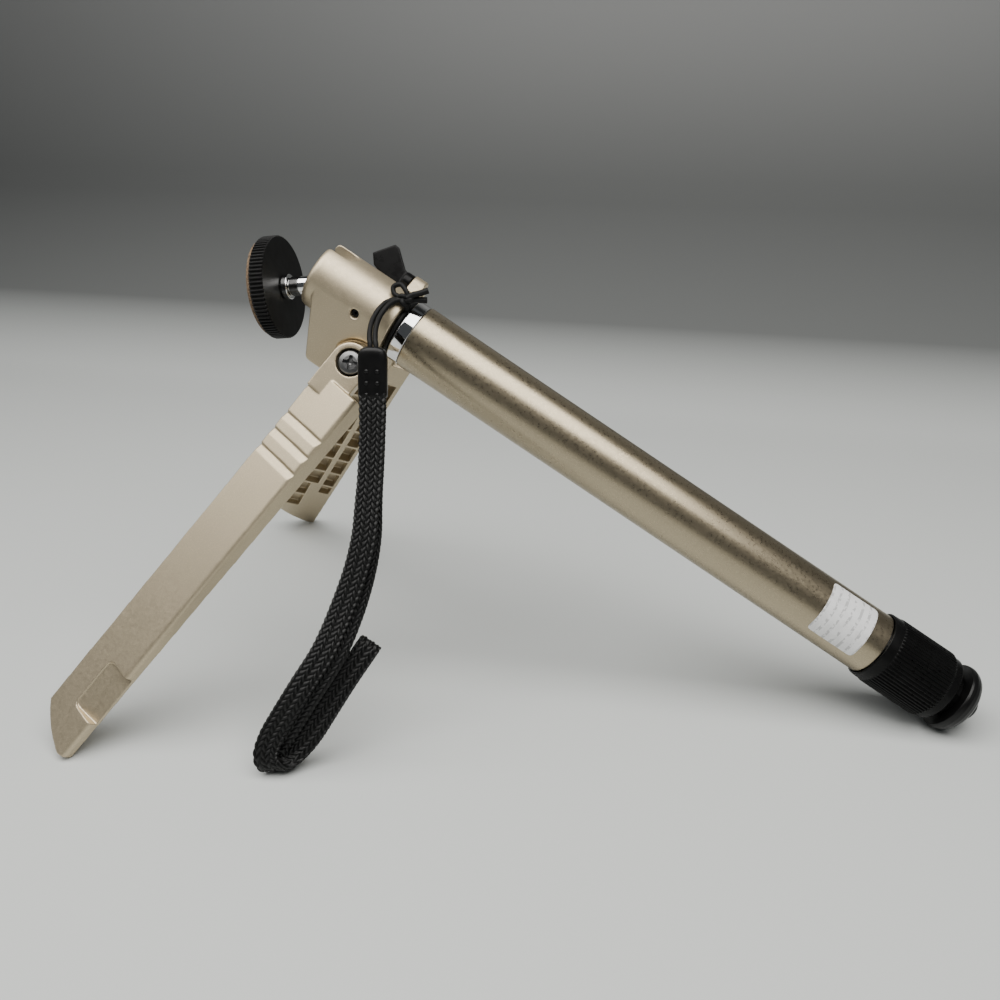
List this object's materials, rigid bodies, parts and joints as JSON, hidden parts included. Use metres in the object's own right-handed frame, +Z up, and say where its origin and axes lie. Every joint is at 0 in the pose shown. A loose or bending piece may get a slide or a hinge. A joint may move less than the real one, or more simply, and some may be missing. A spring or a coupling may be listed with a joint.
{
  "type": "pocket camera monopod",
  "caption": "Telescoping pocket camera monopod standing open on two folding legs and its foot, with a small ball head, ribbed twist collar and braided wrist strap.",
  "frame": {"origin": "on the floor, under the middle of the standing object's box without its strap", "axes": "+Z up; +X from the camera platform towards the tube's foot; the tube lies in the XZ plane; -Y is the left leg"},
  "size_m": [0.3358, 0.212, 0.1728],
  "materials": {
    "champagne_paint": "fine sparkle satin",
    "tube_paint": "satin metallic",
    "chrome": "polished",
    "steel": "satin",
    "aluminium": "satin",
    "black_anodised": "semi-matt",
    "black_plastic": "moulded",
    "inner_plastic": "moulded",
    "rubber": "matt",
    "cork": "cork grain",
    "sticker": "printed film, blank",
    "nylon": "braided"
  },
  "bodies": {
    "frame": {"head_block": "champagne_paint", "ball_seat": "inner_plastic", "pressure_plug": "steel", "set_screw": "steel", "neck_plug": "aluminium", "chrome_ring": "chrome", "outer_tube": "tube_paint", "lock_collet": "black_plastic", "label_sticker": "sticker", "pivot_screw_left": "steel", "pivot_screw_right": "steel", "washer_left": "steel", "washer_right": "steel", "neck_cord": "nylon", "strap_cap": "rubber", "strap_webbing": "nylon"},
    "ball_head": {"ball_stud": "chrome", "stud_flange": "chrome", "camera_screw": "steel"},
    "platform": {"platform_disc": "black_anodised", "cork_pad": "cork"},
    "lever": {"lock_knob": "black_plastic", "lock_screw": "steel"},
    "left_leg": {"leg_left": "champagne_paint"},
    "right_leg": {"leg_right": "champagne_paint"},
    "collar": {"twist_collar": "black_plastic"},
    "extension_2": {"section_2": "aluminium", "friction_plug_2": "inner_plastic", "guide_bush_2": "inner_plastic"},
    "extension_3": {"section_3": "aluminium", "friction_plug_3": "inner_plastic", "guide_bush_3": "inner_plastic"},
    "extension_4": {"section_4": "aluminium", "friction_plug_4": "inner_plastic", "guide_bush_4": "inner_plastic"},
    "extension_5": {"section_5": "aluminium", "friction_plug_5": "inner_plastic", "foot_ferrule": "black_plastic", "rubber_foot": "rubber"}
  },
  "joints": [
    {"name": "head_tilt", "type": "hinge", "parent": "frame", "child": "ball_head", "pos_m": [-0.08362, 0, 0.15662], "axis": [-0.0758, 0.9961, 0.0452], "range_deg": [0, 117]},
    {"name": "platform_turn", "type": "hinge", "parent": "ball_head", "child": "platform", "pos_m": [-0.08362, 0, 0.15662], "axis": [-0.9913, -0.0704, -0.1111], "continuous": true},
    {"name": "lever_turn", "type": "hinge", "parent": "frame", "child": "lever", "pos_m": [-0.06421, 0.0154, 0.15733], "axis": [0.8588, 0, -0.5123], "range_deg": [0, 45]},
    {"name": "left_leg_fold", "type": "hinge", "parent": "frame", "child": "left_leg", "pos_m": [-0.0708, -0.01998, 0.13226], "axis": [0.2334, -0.8902, 0.3912], "range_deg": [0, 95.5]},
    {"name": "right_leg_fold", "type": "hinge", "parent": "frame", "child": "right_leg", "pos_m": [-0.0708, 0.01998, 0.13226], "axis": [-0.2334, -0.8902, -0.3912], "range_deg": [0, 95.5]},
    {"name": "collar_turn", "type": "hinge", "parent": "frame", "child": "collar", "pos_m": [0.13649, 0, 0.02531], "axis": [0.8588, 0, -0.5123], "range_deg": [0, 120]},
    {"name": "section_2_slide", "type": "slide", "parent": "frame", "child": "extension_2", "axis": [0.8588, 0, -0.5123], "range_m": [0, 0.17]},
    {"name": "section_3_slide", "type": "slide", "parent": "extension_2", "child": "extension_3", "axis": [0.8588, 0, -0.5123], "range_m": [0, 0.165]},
    {"name": "section_4_slide", "type": "slide", "parent": "extension_3", "child": "extension_4", "axis": [0.8588, 0, -0.5123], "range_m": [0, 0.165]},
    {"name": "section_5_slide", "type": "slide", "parent": "extension_4", "child": "extension_5", "axis": [0.8588, 0, -0.5123], "range_m": [0, 0.16]}
  ]
}
